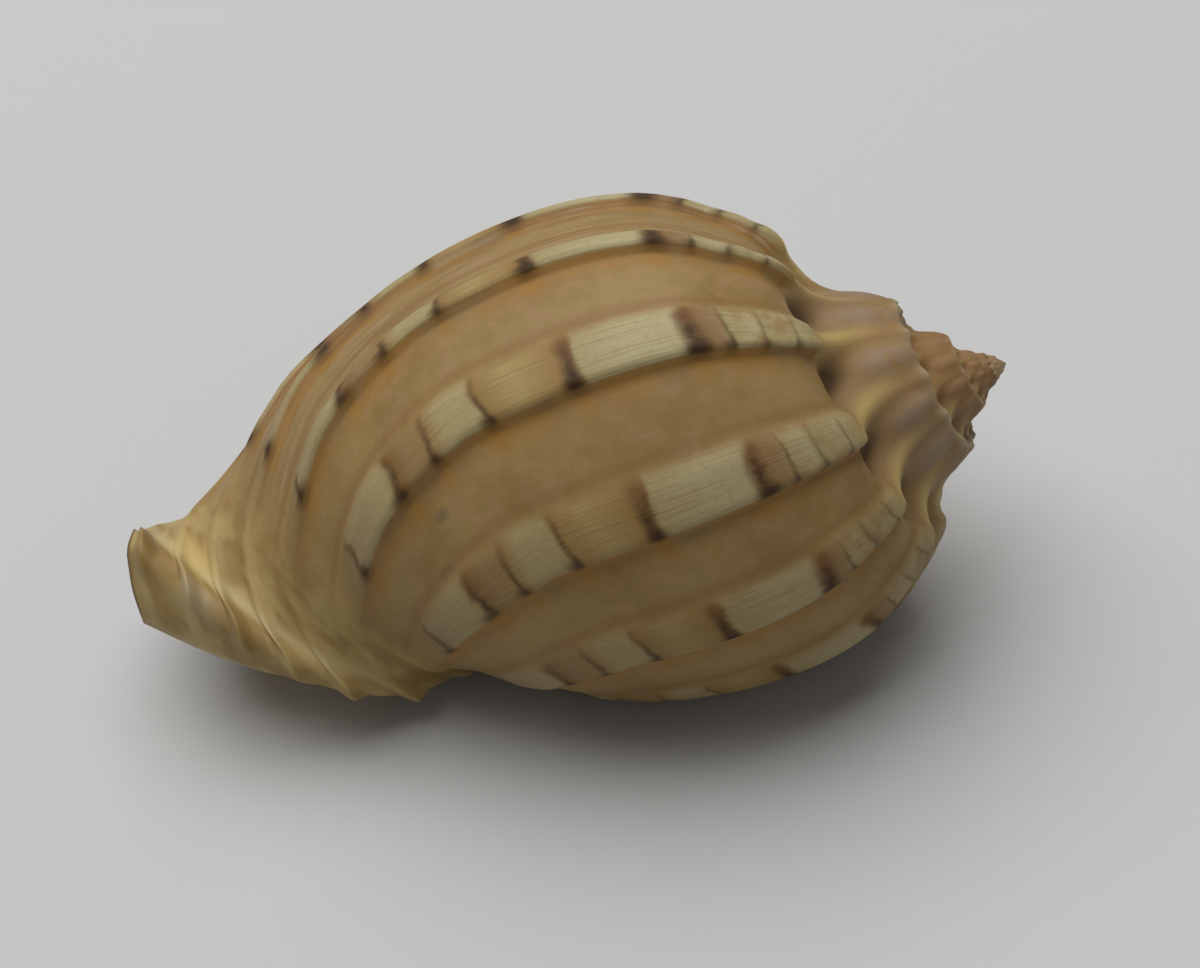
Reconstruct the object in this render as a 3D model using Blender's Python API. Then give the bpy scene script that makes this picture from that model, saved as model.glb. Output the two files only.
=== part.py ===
"""Articulate harp shell, one closed solid.

The shell is a widening spiral tube. One growth line, the curve of the lip from the suture to the
columella, is turned about the axis of coiling while it grows by a constant ratio. Ribs are old lips,
so each is a step along a growth line. Lengths are in metres, +Z is up, and the apex points to +X.
"""

import bpy
import bmesh
from math import cos, exp, log, pi, radians, sin, sqrt
from mathutils import Matrix, Vector

# Growth: millimetres are the unit of the growth line, and the finished solid is scaled to metres
MM = 0.001
GROWTH_PER_TURN = 2.15
GROWTH_RATE = log(GROWTH_PER_TURN) / (2 * pi)
ANTERIOR_FLARE = 0.05
SPIRE_TURNS = 2.6
APEX_HEIGHT = -0.9

# Ribs: the turn of each rib in degrees over the last whorl, oldest first, the same on every whorl
RIB_ANGLES = [-177, -151, -124, -97, -64, -31, 0, 35, 66, 90, 111, 133, 157]
RIB_PHASES = [0.0, 0.12, 0.28, 0.48, 0.72, 0.93]
RIB_SHAPE = [1.0, 0.9, 0.62, 0.0, 0.0, 0.0]
LIP_PHASE = 3
WELD_LEAD = 3

# The growth line at turn zero: radius, height from the apex, sweep in degrees, rib height
GROWTH_LINE = [
    (6.4, 6.0, 6, 0.0),
    (7.2, 5.9, 9, 0.5),
    (8.6, 7.8, 6, 0.15),
    (10.6, 11.0, 1, 0.1),
    (13.2, 12.9, -5, 0.3),
    (15.0, 13.4, -8, 1.1),
    (16.9, 14.6, -8, 0.9),
    (18.8, 16.9, -8, 0.9),
    (20.6, 19.3, -8, 0.9),
    (22.4, 23.4, -8, 0.9),
    (23.2, 27.6, -8, 0.9),
    (23.4, 31.8, -8, 0.9),
    (23.2, 36.0, -8, 0.9),
    (22.6, 40.2, -8, 0.85),
    (21.6, 44.2, -10, 0.85),
    (20.2, 48.0, -13, 0.8),
    (16.6, 53.6, -22, 0.65),
    (13.0, 57.0, -34, 0.5),
    (11.0, 58.8, -46, 0.4),
    (9.6, 59.4, -62, 0.3),
    (9.0, 59.2, -82, 0.35),
    (9.4, 58.2, -102, 0.8),
    (8.0, 58.9, -116, 0.3),
    (5.7, 59.3, -132, 0.05),
]
RAMP_STEPS = 4
SWEEP_STATION = 14
FLARE_STATIONS = (17, 21)
CANAL_STATION = 18
WAIST_STATION = 16.5
WAIST_REACH = 3.5
WAIST_TURNS = (60, 169)
WAIST_DEPTH = 0.065
LIFT_STATION = 2.5
LIFT_REACH = 2
LIFT_TURNS = (90, 150)
LIP_LIFT = 2.0
TUCK_STATION = 19.5
TUCK_REACH = 2.5
TUCK_TURNS = (-174, -177)
TUCK_DEPTH = 2.4

# Columella and inner lip, in the axis frame of the last whorl
INNER_LIP_ANGLE = -195
COLUMELLA_RADIUS = 5.2
TIP_ANGLE = -225
TIP_RADIUS = 6.0
TIP_SETBACK = 2.0
COLUMELLA_STEPS = 4
COLUMELLA_BULGE = 0.5
CALLUS_TURNS = (-160, -110)
CALLUS_RIB = 0.25

# Aperture: thickness of the lip, middle of the canal, and how far round the hollow reaches
LIP_WALL = 1.8
CANAL_MIDDLE = (0.0, 10.0)
HOLLOW_TURNS = [7, 15, 28, 45, 64, 84, 104, 124, 144, 162, 178, 192, 202]
HOLLOW_CLOSES_FROM = 110
HOLLOW_NARROWS_BY = 0.11
HOLLOW_NARROW_TURN = 40
CORNER_STATIONS = [(2, 6), (3, 8), (4, 9)]
FOLD_STATIONS = (22, 17)

# Rest: the apex end is raised, and the aperture faces down
AXIS_RAISED = 15
DOWN_ANGLE = 231.5
FLAT_SPOT = 0.4
NEAR_FLAT = 0.05
SHARP_ANGLE = 35


def smoothstep(low, high, value):
    share = min(1.0, max(0.0, (value - low) / (high - low)))
    return share * share * (3 - 2 * share)


def growth(turn):
    return exp(GROWTH_RATE * radians(turn))


def around(radius, height, angle):
    return Vector((radius * cos(radians(angle)), radius * sin(radians(angle)), height))


def column_turn(column):
    """Turn in degrees of a column of the mesh. Column 0 is the oldest rib of the last whorl."""
    rib, step = divmod(column, len(RIB_PHASES))
    whorl, place = divmod(rib, len(RIB_ANGLES))
    angles = RIB_ANGLES + [RIB_ANGLES[0] + 360]
    return 360 * whorl + angles[place] + (angles[place + 1] - angles[place]) * RIB_PHASES[step]


def swept(sweep, turn):
    """Sweep of a station. The oldest lines of the last whorl end at the inner lip, so they sweep less."""
    start = GROWTH_LINE[SWEEP_STATION - 1][2]
    end = GROWTH_LINE[-1][2]
    if sweep >= start or turn < RIB_ANGLES[0] - 1:
        return sweep
    share = min(1.0, (INNER_LIP_ANGLE - turn - start) / (end - start))
    return start + (sweep - start) * share


def line_point(station, column):
    """Point of one station of the growth line at one column, with its rib."""
    radius, height, sweep, rib = GROWTH_LINE[station]
    turn = column_turn(column)
    before = GROWTH_LINE[station - 1]
    after = GROWTH_LINE[min(len(GROWTH_LINE) - 1, station + 1)]
    along = Vector((after[0] - before[0], after[1] - before[1])).normalized()
    callus = 1.0
    if turn > RIB_ANGLES[0] - 1:
        callus = CALLUS_RIB + (1 - CALLUS_RIB) * smoothstep(*CALLUS_TURNS, turn)
    rise = rib * RIB_SHAPE[column % len(RIB_PHASES)] * callus
    if station < CANAL_STATION:
        radius += along.y * rise
        height -= along.x * rise
    else:
        radius += rise
    if turn > 0:
        share = smoothstep(*FLARE_STATIONS, station)
        radius *= exp(ANTERIOR_FLARE * share * radians(turn))
    waist = smoothstep(WAIST_REACH, 0, abs(station - WAIST_STATION))
    radius *= 1 - WAIST_DEPTH * waist * smoothstep(*WAIST_TURNS, turn)
    near_suture = smoothstep(LIFT_REACH, 0, abs(station - LIFT_STATION))
    height -= LIP_LIFT * near_suture * smoothstep(*LIFT_TURNS, turn)
    near_fold = smoothstep(TUCK_REACH, 0, abs(station - TUCK_STATION))
    height -= TUCK_DEPTH * near_fold * smoothstep(*TUCK_TURNS, turn)
    scale = growth(turn)
    return around(radius * scale, height * scale, turn + swept(sweep, turn))


def inner_lip_point(column):
    """Point of the columella's edge that a growth line ends at."""
    turn = column_turn(column)
    grown = smoothstep(-60, 169, turn)
    radius = COLUMELLA_RADIUS + (TIP_RADIUS - COLUMELLA_RADIUS) * grown
    angle = INNER_LIP_ANGLE + (TIP_ANGLE - INNER_LIP_ANGLE) * grown
    height = GROWTH_LINE[-1][1] * growth(turn) - TIP_SETBACK * grown
    return around(radius, height, angle)


class ShellMesh:
    """Points and faces of the shell in its axis frame: z runs from the apex to the notch."""

    def __init__(self):
        self.points = []
        self.faces = []

    def add(self, point):
        self.points.append(point)
        return len(self.points) - 1

    def face(self, *corners):
        ring = list(dict.fromkeys(corners))
        if len(ring) > 2:
            self.faces.append(ring)


def straighten(outline, begin, end):
    """Moves the points between two places of a closed outline onto the straight line between them."""
    for step in range(1, end - begin):
        share = step / (end - begin)
        outline[(begin + step) % len(outline)] = outline[begin].lerp(outline[end % len(outline)], share)


def build_shell():
    mesh = ShellMesh()
    per_turn = len(RIB_ANGLES) * len(RIB_PHASES)
    pitch = per_turn - WELD_LEAD
    lip = per_turn - len(RIB_PHASES) + LIP_PHASE
    start = lip - pitch
    first = start - int(SPIRE_TURNS * per_turn)
    last = len(GROWTH_LINE) - 1
    final = last + COLUMELLA_STEPS
    apex = mesh.add(Vector((0, 0, APEX_HEIGHT)))
    vertex = {}

    # Points of the outside. A line of the spire is hidden past its ramp by the next whorl
    for column in range(first, lip + 1):
        older = column - pitch
        vertex[column, 0] = vertex[older, RAMP_STEPS] if older >= first else apex
        for row in range(1, last + 1 if column >= start else RAMP_STEPS + 1):
            vertex[column, row] = mesh.add(line_point(row, column))
    for column in range(start, lip + 1):
        outer = mesh.points[vertex[column, last]]
        inner = inner_lip_point(column)
        for step in range(1, COLUMELLA_STEPS + 1):
            if column_turn(column) + GROWTH_LINE[-1][2] <= INNER_LIP_ANGLE + 1:
                vertex[column, last + step] = vertex[column, last]
                continue
            share = step / COLUMELLA_STEPS
            point = outer.lerp(inner, share)
            bulge = COLUMELLA_BULGE * sin(pi * share)
            point += Vector((point.x, point.y, 0)).normalized() * bulge
            vertex[column, last + step] = mesh.add(point)

    # Faces of the outside
    for column in range(first, lip):
        for row in range(final if column >= start else RAMP_STEPS):
            mesh.face(
                vertex[column, row],
                vertex[column + 1, row],
                vertex[column + 1, row + 1],
                vertex[column, row + 1],
            )
    mesh.face(*[vertex[first, row] for row in range(RAMP_STEPS + 1)])

    # The lip's inner edge, a wall's thickness in from the outer edge
    middle = Vector(CANAL_MIDDLE)
    edge = [vertex[lip, row] for row in range(final + 1)]
    inner_edge = [edge[0]]
    for row in range(1, final):
        point = mesh.points[edge[row]]
        flat = Vector((point.x, point.y))
        before = GROWTH_LINE[min(row, last) - 1]
        after = GROWTH_LINE[min(row + 1, last)]
        along = Vector((after[0] - before[0], after[1] - before[1])).normalized()
        canal = smoothstep(CANAL_STATION - 3, CANAL_STATION + 1, row)
        inward = -flat.normalized() * along.y
        inward = inward.lerp((middle - flat).normalized(), canal)
        drop = along.x * (1 - canal)
        taper = LIP_WALL * min(1.0, max(row / 10, (row - 2) / 4), (final - row) / 3)
        inner_edge.append(mesh.add(point + Vector((*inward, drop)) * taper))
    inner_edge.append(edge[final])
    for row in range(final):
        mesh.face(edge[row + 1], edge[row], inner_edge[row], inner_edge[row + 1])

    # The hollow: the mouth's edge turned back down the spiral, closing at its deep end. Its sharp
    # corner under the suture and the fold at the belly's end are filled
    mouth = inner_edge + [vertex[column, final] for column in range(lip - 1, start - 1, -1)]
    mouth += [vertex[start, row] for row in range(last - 1, RAMP_STEPS, -1)]
    mouth = list(dict.fromkeys(mouth))
    outline = [mesh.points[index] for index in mouth]
    up_belly = len(outline) + RAMP_STEPS
    ring = mouth
    for count, turn in enumerate(HOLLOW_TURNS):
        on_lip, on_belly = CORNER_STATIONS[min(count, len(CORNER_STATIONS) - 1)]
        straighten(outline, up_belly - on_belly, len(outline) + on_lip)
        if count > 0:
            straighten(outline, up_belly - FOLD_STATIONS[0], up_belly - FOLD_STATIONS[1])
        spin = Matrix.Rotation(radians(-turn), 3, "Z") * growth(-turn)
        points = [spin @ point for point in outline]
        centre = sum(points, Vector()) / len(points)
        depth = max(0.0, (turn - HOLLOW_CLOSES_FROM) / (HOLLOW_TURNS[-1] + 4 - HOLLOW_CLOSES_FROM))
        width = sqrt(1 - depth * depth)
        width *= 1 - HOLLOW_NARROWS_BY * smoothstep(0, HOLLOW_NARROW_TURN, turn)
        deeper = [mesh.add(centre.lerp(point, width)) for point in points]
        for place in range(len(ring)):
            beyond = (place + 1) % len(ring)
            mesh.face(ring[beyond], ring[place], deeper[place], deeper[beyond])
        ring = deeper
    pole = mesh.add(sum((mesh.points[index] for index in ring), Vector()) / len(ring))
    for place in range(len(ring)):
        mesh.face(ring[(place + 1) % len(ring)], ring[place], pole)
    return mesh


def rest_matrix():
    """Turns the axis frame so that the shell rests on its aperture with the apex raised, toward +X."""
    tilt = radians(AXIS_RAISED)
    axis = Vector((-cos(tilt), 0, -sin(tilt)))
    down = Vector((sin(tilt), 0, -cos(tilt)))
    side = axis.cross(down)
    turn = radians(DOWN_ANGLE)
    across = down * cos(turn) - side * sin(turn)
    upright = down * sin(turn) + side * cos(turn)
    return Matrix((across, upright, axis)).transposed()


def finish_solid(mesh):
    """The solid in metres, at rest, cut to small flat spots where it touches the floor."""
    solid = bmesh.new()
    corners = [solid.verts.new(point) for point in mesh.points]
    for face in mesh.faces:
        solid.faces.new([corners[index] for index in face])
    solid.transform(rest_matrix().to_4x4())
    floor = min(corner.co.z for corner in solid.verts) + FLAT_SPOT
    for corner in solid.verts:
        if abs(corner.co.z - floor) < NEAR_FLAT:
            corner.co.z = floor
    cut = bmesh.ops.bisect_plane(
        solid,
        geom=solid.verts[:] + solid.edges[:] + solid.faces[:],
        dist=0.0001,
        plane_co=(0, 0, floor),
        plane_no=(0, 0, 1),
        clear_inner=True,
    )
    rim = [item for item in cut["geom_cut"] if isinstance(item, bmesh.types.BMEdge)]
    bmesh.ops.holes_fill(solid, edges=[edge for edge in rim if edge.is_boundary], sides=0)
    low = Vector([min(corner.co[axis] for corner in solid.verts) for axis in range(3)])
    high = Vector([max(corner.co[axis] for corner in solid.verts) for axis in range(3)])
    base = Vector(((low.x + high.x) / 2, (low.y + high.y) / 2, low.z))
    solid.transform(Matrix.Scale(MM, 4) @ Matrix.Translation(-base))
    for corner in solid.verts:
        if abs(corner.co.z) < 0.000001:
            corner.co.z = 0
    return solid


def main():
    for item in list(bpy.data.objects):
        bpy.data.objects.remove(item)
    solid = finish_solid(build_shell())
    data = bpy.data.meshes.new("shell")
    solid.to_mesh(data)
    solid.free()
    material = bpy.data.materials.new("shell_porcelain")
    material.use_nodes = True
    shader = material.node_tree.nodes["Principled BSDF"]
    shader.inputs["Base Color"].default_value = (0.48, 0.34, 0.19, 1)
    shader.inputs["Roughness"].default_value = 0.35
    data.materials.append(material)
    data.polygons.foreach_set("use_smooth", [True] * len(data.polygons))
    data.set_sharp_from_angle(angle=radians(SHARP_ANGLE))
    collection = bpy.data.collections.new("articulate_harp_shell")
    bpy.context.scene.collection.children.link(collection)
    collection.objects.link(bpy.data.objects.new("shell", data))


if __name__ == "__main__":
    main()
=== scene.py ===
import bpy
from math import cos, log, pi, radians, sin
from mathutils import Matrix, Vector


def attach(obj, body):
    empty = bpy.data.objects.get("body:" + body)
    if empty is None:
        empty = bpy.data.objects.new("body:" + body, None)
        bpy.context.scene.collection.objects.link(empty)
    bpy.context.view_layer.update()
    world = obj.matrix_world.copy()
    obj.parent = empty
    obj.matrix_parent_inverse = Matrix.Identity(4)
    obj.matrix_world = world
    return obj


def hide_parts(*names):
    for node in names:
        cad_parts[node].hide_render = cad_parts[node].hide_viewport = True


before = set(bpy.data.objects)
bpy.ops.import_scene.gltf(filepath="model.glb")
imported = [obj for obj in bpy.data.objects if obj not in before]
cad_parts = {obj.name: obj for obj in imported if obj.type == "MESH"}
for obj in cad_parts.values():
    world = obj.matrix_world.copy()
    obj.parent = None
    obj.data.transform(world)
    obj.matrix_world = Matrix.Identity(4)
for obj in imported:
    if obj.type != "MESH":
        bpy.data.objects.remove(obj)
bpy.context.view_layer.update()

# The growing edge. A snail lays down its shell at one curved edge, from the suture over the
# shoulder and down to the columella, and the edge keeps its shape as it widens. Its stations at
# turn zero: radius from the axis and distance from the apex, degrees swept back, rib height.
GROWING_EDGE = [
    (6.4, 6.0, 6, 0.0),
    (7.2, 5.9, 9, 0.5),
    (8.6, 7.8, 6, 0.25),
    (10.6, 11.0, 1, 0.4),
    (13.2, 12.9, -5, 1.0),
    (15.0, 13.4, -8, 1.3),
    (16.9, 14.6, -8, 0.9),
    (18.8, 16.9, -8, 0.9),
    (20.6, 19.3, -8, 0.9),
    (22.4, 23.4, -8, 0.9),
    (23.2, 27.6, -8, 0.9),
    (23.4, 31.8, -8, 0.9),
    (23.2, 36.0, -8, 0.9),
    (22.6, 40.2, -8, 0.85),
    (21.6, 44.2, -10, 0.85),
    (20.2, 48.0, -13, 0.8),
    (16.6, 53.6, -22, 0.65),
    (13.0, 57.0, -34, 0.5),
    (11.0, 58.8, -46, 0.4),
    (9.6, 59.4, -62, 0.3),
    (9.0, 59.2, -82, 0.35),
    (9.4, 58.2, -102, 0.8),
    (8.0, 58.9, -116, 0.3),
    (5.7, 59.3, -132, 0.05),
]
COLUMELLA_STATION = len(GROWING_EDGE) - 1
INNER_LIP_STATIONS = 4
LAST_STATION = COLUMELLA_STATION + INNER_LIP_STATIONS
RAMP_STATION = 4
GROWTH_PER_TURN = 2.15


class Amount:
    """A number that changes over the shell. A sum of amounts becomes Math nodes in their tree."""

    def __init__(self, tree, socket):
        self.tree = tree
        self.socket = socket

    def worked(self, operation, *others):
        node = self.tree.nodes.new("ShaderNodeMath")
        node.operation = operation
        for socket, value in zip(node.inputs, (self, *others)):
            put(self.tree, socket, value)
        return Amount(self.tree, node.outputs[0])

    def __add__(self, other):
        return self.worked("ADD", other)

    def __sub__(self, other):
        return self.worked("SUBTRACT", other)

    def __mul__(self, other):
        return self.worked("MULTIPLY", other)

    def __truediv__(self, other):
        return self.worked("DIVIDE", other)

    def whole(self):
        return self.worked("FLOOR")

    def part(self):
        return self.worked("FRACT")

    def at_most(self, other):
        return self.worked("MINIMUM", other)

    def at_least(self, other):
        return self.worked("MAXIMUM", other)

    def left_to(self, total):
        """total less this amount."""
        return self * -1 + total

    def eased(self, low, high):
        """0 below low, 1 above high, and a soft step between them."""
        node = self.tree.nodes.new("ShaderNodeMapRange")
        node.interpolation_type = "SMOOTHSTEP"
        put(self.tree, node.inputs["Value"], self)
        put(self.tree, node.inputs["From Min"], low)
        put(self.tree, node.inputs["From Max"], high)
        return Amount(self.tree, node.outputs["Result"])

    def hump(self, middle, reach):
        """1 at middle, falling to 0 at reach on either side."""
        return (self - middle).worked("ABSOLUTE").eased(reach, 0)

    def drawn(self, points, straight=False):
        """The height of a drawn curve at this amount. points go from left to right."""
        left, right = points[0][0], points[-1][0]
        low = min(point[1] for point in points)
        high = max(point[1] for point in points)
        node = self.tree.nodes.new("ShaderNodeFloatCurve")
        curve = node.mapping.curves[0]
        for _ in range(len(points) - 2):
            curve.points.new(0.5, 0.5)
        for mark, point in zip(curve.points, points):
            mark.location = ((point[0] - left) / (right - left), (point[1] - low) / (high - low))
            mark.handle_type = "VECTOR" if straight else "AUTO_CLAMPED"
        node.mapping.update()
        put(self.tree, node.inputs["Value"], (self - left) / (right - left))
        return Amount(self.tree, node.outputs[0]) * (high - low) + low


def put(tree, socket, value):
    if isinstance(value, Amount):
        tree.links.new(value.socket, socket)
    else:
        socket.default_value = value


def packed(tree, x, y, z):
    node = tree.nodes.new("ShaderNodeCombineXYZ")
    for socket, value in zip(node.inputs, (x, y, z)):
        put(tree, socket, value)
    return Amount(tree, node.outputs[0])


def between(tree, first, second, share):
    """The point that is this share of the way from the first point to the second."""
    node = tree.nodes.new("ShaderNodeMix")
    node.data_type = "VECTOR"
    node.clamp_factor = False
    tree.links.new(first.socket, node.inputs[4])
    tree.links.new(second.socket, node.inputs[5])
    put(tree, node.inputs[0], share)
    return Amount(tree, node.outputs[1])


def moved(tree, first, second):
    node = tree.nodes.new("ShaderNodeVectorMath")
    node.operation = "ADD"
    tree.links.new(first.socket, node.inputs[0])
    tree.links.new(second.socket, node.inputs[1])
    return Amount(tree, node.outputs[0])


def new_tree(name, takes, gives):
    """An empty group of geometry nodes, and its inputs as amounts by name."""
    tree = bpy.data.node_groups.new(name, "GeometryNodeTree")
    for label, kind in takes.items():
        tree.interface.new_socket(label, in_out="INPUT", socket_type="NodeSocket" + kind)
    for label, kind in gives.items():
        tree.interface.new_socket(label, in_out="OUTPUT", socket_type="NodeSocket" + kind)
    entry = tree.nodes.new("NodeGroupInput")
    leaving = tree.nodes.new("NodeGroupOutput")
    return tree, {label: Amount(tree, entry.outputs[label]) for label in takes}, leaving


def used(tree, group, **values):
    """A group placed in a tree. Its inputs are set by name, and its outputs come back by name."""
    node = tree.nodes.new("GeometryNodeGroup")
    node.node_tree = group
    for label, value in values.items():
        put(tree, node.inputs[label], value)
    return {socket.name: Amount(tree, socket) for socket in node.outputs if socket.name}


edge_tree, takes, leaving = new_tree(
    "growing edge",
    {"Station": "Float"},
    {"Radius": "Float", "Height": "Float", "Sweep": "Float", "Rib": "Float"},
)
for place, label in enumerate(("Radius", "Height", "Sweep", "Rib")):
    along = [(station, row[place]) for station, row in enumerate(GROWING_EDGE)]
    put(edge_tree, leaving.inputs[label], takes["Station"].drawn(along))

# The ribs. Each rib is an old lip that the snail stopped at, so it stands along a growth line:
# steep and overhanging on its older side, with a flat top, and easing down into the next smooth
# stretch. RIB_TURNS are degrees round the axis. A section runs from one rib's crest to the next.
RIB_TURNS = [-177, -151, -124, -97, -64, -31, 0, 35, 66, 90, 111, 133, 157, 183]
RIBS_PER_WHORL = 13
COLUMNS_PER_RIB = 20
COLUMN_ROUNDING = 0.0001
RIB_SECTION = [
    (0, 1.0), (0.03, 1.06), (0.1, 1.0), (0.2, 0.88), (0.29, 0.72), (0.36, 0.4), (0.44, 0.12),
    (0.55, 0.0), (0.8, -0.04), (0.915, -0.1), (0.95, 0.05), (0.975, 0.72), (1, 1.0),
]
COLUMN_SPACING = [
    (0, 0), (0.1, 0.035), (0.2, 0.11), (0.3, 0.23), (0.4, 0.35), (0.5, 0.48), (0.6, 0.62),
    (0.7, 0.77), (0.8, 0.89), (0.86, 0.935), (0.93, 0.966), (1, 1),
]

turn_tree, takes, leaving = new_tree(
    "turn of a column", {"Column": "Float"}, {"Turn": "Float", "Phase": "Float", "Ribs": "Float"}
)
ribs_done = (takes["Column"] / COLUMNS_PER_RIB + COLUMN_ROUNDING).whole()
phase = (takes["Column"] / COLUMNS_PER_RIB - ribs_done).at_least(0).drawn(COLUMN_SPACING)
whorls_done = (ribs_done / RIBS_PER_WHORL + COLUMN_ROUNDING).whole()
place = ribs_done + phase - whorls_done * RIBS_PER_WHORL
turn = place.drawn(list(enumerate(RIB_TURNS)), straight=True) + whorls_done * 360
put(turn_tree, leaving.inputs["Turn"], turn)
put(turn_tree, leaving.inputs["Phase"], phase)
put(turn_tree, leaving.inputs["Ribs"], ribs_done + phase)

# The outside of the tube. Every point of the growing edge runs round the axis on a widening
# spiral, and near the canal the edge sweeps round and ends on the columella, the pillar of the
# shell.

# One station or phase is a middle and a reach. TURNS, RIBS and STATIONS are where a change begins
# and where it is complete.
SLOPE_STEP = 0.6
CALLUS_TURNS = (-160, -110)
LEFT_UNDER_CALLUS = 0.25
OVERHANG_PHASE = 0.55
FOLD_PHASE = (0.08, 0.3)
FOLD_DEEPENS = 0.8
FOLD_DEEPENING_TURNS = (-200, -380)
RIBS_FADE_STATIONS = (18, 15.8)
RIBS_START_STATIONS = (3.6, 4.8)
NARROW_RIBS = (7.6, 8)
NARROWING = 0.5
RIB_FOOT = 0.6
PIT_DEPTH = 1.3
PIT_STATION = (3.75, 1.1)
PIT_PHASE = (0.6, 0.38)
CUSHION_HEIGHT = 0.6
CUSHION_STATION = (2.0, 1.3)
CUSHION_PHASE = (0.6, 0.45)
RIBS_WITHOUT_PITS = (12.4, 11.7)
TOOTH_HEIGHT = 0.3
TOOTH_STATION = (21.0, 1.3)
TOOTH_PHASE = (-0.02, 0.16)
CANAL_STATIONS = (17.5, 18.5)
LIP_LIFT = 2.0
LIFT_STATION = (2.5, 2)
LIFT_TURNS = (90, 150)
TUCK_DEPTH = 2.4
TUCK_STATION = (19.5, 2.5)
TUCK_TURNS = (-174, -177)
CANAL_FLARE = 0.05
FLARE_STATIONS = (17, 21)
WAIST_DEPTH = 0.065
WAIST_STATION = (16.5, 3.5)
WAIST_TURNS = (60, 169)
INNER_LIP_TURN = -195
SWEEP_START = -8
COLUMELLA_RADIUS = 5.2
COLUMELLA_TURNS = (-60, 169)
INNER_LIP_TURNS = (-63, -58)
TIP_TURN = -225
TIP_RADIUS = 6.0
TIP_SETBACK = 2.0
COLUMELLA_BULGE = 0.5
SPIRE_COLUMNS = 44 * COLUMNS_PER_RIB
SMOOTH_TIP_TURNS = (-1000, -640)
TIP_REACH = 0.9
TIP_COLUMNS = 6

line_tree, takes, leaving = new_tree(
    "point of a growth line", {"Column": "Float", "Station": "Float"}, {"Point": "Vector"}
)
station = takes["Station"].at_most(COLUMELLA_STATION)
column = used(line_tree, turn_tree, Column=takes["Column"])
turn, phase = column["Turn"], column["Phase"]
edge = used(line_tree, edge_tree, Station=station)
before = used(line_tree, edge_tree, Station=(station - SLOPE_STEP).at_least(0))
after = used(line_tree, edge_tree, Station=(station + SLOPE_STEP).at_most(COLUMELLA_STATION))
outward = after["Radius"] - before["Radius"]
downward = after["Height"] - before["Height"]
length = (outward * outward + downward * downward).worked("SQRT")

# How far the surface stands out from the growing edge: ribs, pits, cushions and teeth
callus = turn.eased(*CALLUS_TURNS) * (1 - LEFT_UNDER_CALLUS) + LEFT_UNDER_CALLUS
wrapped = phase - phase.worked("GREATER_THAN", OVERHANG_PHASE)
soft_fold = wrapped.hump(*FOLD_PHASE) * (turn.eased(*FOLD_DEEPENING_TURNS) * FOLD_DEEPENS + 1)
crisp = station.eased(*RIBS_FADE_STATIONS) * station.eased(*RIBS_START_STATIONS)
across = phase * (column["Ribs"].eased(*NARROW_RIBS) * NARROWING + 1)
across = across.at_most(RIB_FOOT).at_least(phase)
section = across.drawn(RIB_SECTION) * crisp + soft_fold * crisp.left_to(1)
rise = edge["Rib"] * section * callus * turn.eased(*SMOOTH_TIP_TURNS)
before_lip = column["Ribs"].eased(*RIBS_WITHOUT_PITS)
pit = station.hump(*PIT_STATION) * phase.hump(*PIT_PHASE)
rise = rise - pit * PIT_DEPTH * before_lip
cushion = station.hump(*CUSHION_STATION) * phase.hump(*CUSHION_PHASE)
rise = rise + cushion * CUSHION_HEIGHT * before_lip
tooth = station.hump(*TOOTH_STATION) * wrapped.hump(*TOOTH_PHASE)
rise = rise + tooth * TOOTH_HEIGHT * callus
canal = station.eased(*CANAL_STATIONS)
radius = edge["Radius"] + rise * (canal + downward / length * canal.left_to(1))
height = edge["Height"] - rise * outward / length * canal.left_to(1)
height = height - station.hump(*LIFT_STATION) * turn.eased(*LIFT_TURNS) * LIP_LIFT
height = height - station.hump(*TUCK_STATION) * turn.eased(*TUCK_TURNS) * TUCK_DEPTH

# Where that lands on the spiral, and how far the edge has swept back by then
flaring = station.eased(*FLARE_STATIONS) * turn.at_least(0)
flare = (flaring * radians(CANAL_FLARE)).worked("EXPONENT")
scale = (turn * (log(GROWTH_PER_TURN) / 360)).worked("EXPONENT")
last_sweep = GROWING_EDGE[-1][2]
swept_share = ((turn - INNER_LIP_TURN + SWEEP_START) / (SWEEP_START - last_sweep)).at_most(1)
sweep = edge["Sweep"].at_least(SWEEP_START)
sweep = sweep + (edge["Sweep"] - SWEEP_START).at_most(0) * swept_share
angle = (turn + sweep) * (pi / 180)
waist = station.hump(*WAIST_STATION) * turn.eased(*WAIST_TURNS) * WAIST_DEPTH
reach = radius * flare * scale * waist.left_to(1)
tip = turn.eased(*SMOOTH_TIP_TURNS).left_to(1)
outer = packed(
    line_tree,
    reach * angle.worked("COSINE"),
    reach * angle.worked("SINE"),
    height * scale - tip * TIP_REACH,
)

# The inner lip crosses from the canal's edge to the columella, and the tip's first columns close
# on the apex
grown = turn.eased(*COLUMELLA_TURNS)
inner_angle = (grown * (TIP_TURN - INNER_LIP_TURN) + INNER_LIP_TURN) * (pi / 180)
inner_radius = grown * (TIP_RADIUS - COLUMELLA_RADIUS) + COLUMELLA_RADIUS
inner = packed(
    line_tree,
    inner_radius * inner_angle.worked("COSINE"),
    inner_radius * inner_angle.worked("SINE"),
    scale * GROWING_EDGE[-1][1] - grown * TIP_SETBACK,
)
past_canal = (takes["Station"] - COLUMELLA_STATION).at_least(0) / INNER_LIP_STATIONS
down_columella = past_canal * turn.eased(*INNER_LIP_TURNS)
bulge = (down_columella * pi).worked("SINE") * COLUMELLA_BULGE
rounded = packed(line_tree, bulge * angle.worked("COSINE"), bulge * angle.worked("SINE"), 0.0)
point = moved(line_tree, between(line_tree, outer, inner, down_columella), rounded)
apex = packed(line_tree, 0.0, 0.0, -TIP_REACH)
begun = ((takes["Column"] + SPIRE_COLUMNS) / TIP_COLUMNS).at_least(0).at_most(1)
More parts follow.
